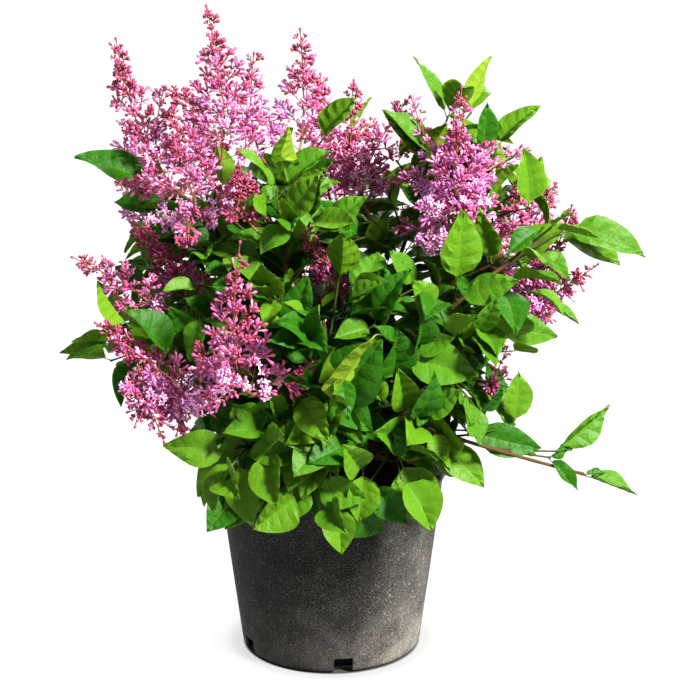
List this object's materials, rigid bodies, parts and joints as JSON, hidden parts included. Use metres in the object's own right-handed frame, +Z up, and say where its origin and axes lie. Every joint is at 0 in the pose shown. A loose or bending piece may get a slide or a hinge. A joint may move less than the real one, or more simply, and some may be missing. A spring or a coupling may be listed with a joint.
{
  "type": "potted_flowering_shrub",
  "caption": "Lilac bush in bloom, leafy canes rising from compost in a round dark plastic nursery pot",
  "frame": {"origin": "centre of the flat underside of the pot", "axes": "+Z up along the axis of the pot, -Y towards the viewer, +X to the viewer's right"},
  "size_m": [0.6107, 0.4855, 0.6847],
  "materials": {
    "pot": "dull charcoal plastic with fine pale scratches and dried dust",
    "compost": "dark crumbly potting compost",
    "stems": "thin grey-brown bark",
    "leaves": "soft green leaves with a light sheen",
    "blossom": "lilac-pink florets and crimson buds"
  },
  "bodies": {
    "root": {"bloom_back_high": "blossom", "bloom_back_left_high": "blossom", "bloom_back_left_outer": "blossom", "bloom_back_low": "blossom", "bloom_back_outer": "blossom", "bloom_back_right_high": "blossom", "bloom_back_right_outer": "blossom", "bloom_broad_right": "blossom", "bloom_dark": "blossom", "bloom_front": "blossom", "bloom_low_left": "blossom", "bloom_mid_right": "blossom", "bloom_near_left": "blossom", "bloom_outer_left": "blossom", "bloom_outer_right": "blossom", "bloom_outermost_left": "blossom", "bloom_right_of_middle": "blossom", "bloom_second_tallest": "blossom", "bloom_slim": "blossom", "bloom_small_middle": "blossom", "bloom_small_right": "blossom", "bloom_tallest": "blossom", "bloom_upper_left": "blossom", "bough_back_low": "stems", "bough_front_left_low": "stems", "bough_front_low": "stems", "bough_front_middle": "stems", "bough_front_right_low": "stems", "bough_low_right": "stems", "bough_right_low": "stems", "bough_upper_front": "stems", "cane_back": "stems", "cane_back_left": "stems", "cane_back_right": "stems", "cane_left": "stems", "cane_right": "stems", "cane_right_top": "stems", "cane_top_left": "stems", "cane_top_middle": "stems", "cane_top_right": "stems", "compost": "compost", "leaves_back": "leaves", "leaves_back_left": "leaves", "leaves_back_low": "leaves", "leaves_back_right": "leaves", "leaves_front_left_low": "leaves", "leaves_front_low": "leaves", "leaves_front_middle": "leaves", "leaves_front_right_low": "leaves", "leaves_left": "leaves", "leaves_low_right": "leaves", "leaves_right": "leaves", "leaves_right_low": "leaves", "leaves_right_top": "leaves", "leaves_top_left": "leaves", "leaves_top_middle": "leaves", "leaves_top_right": "leaves", "leaves_upper_front": "leaves", "pot": "pot"}
  },
  "joints": []
}
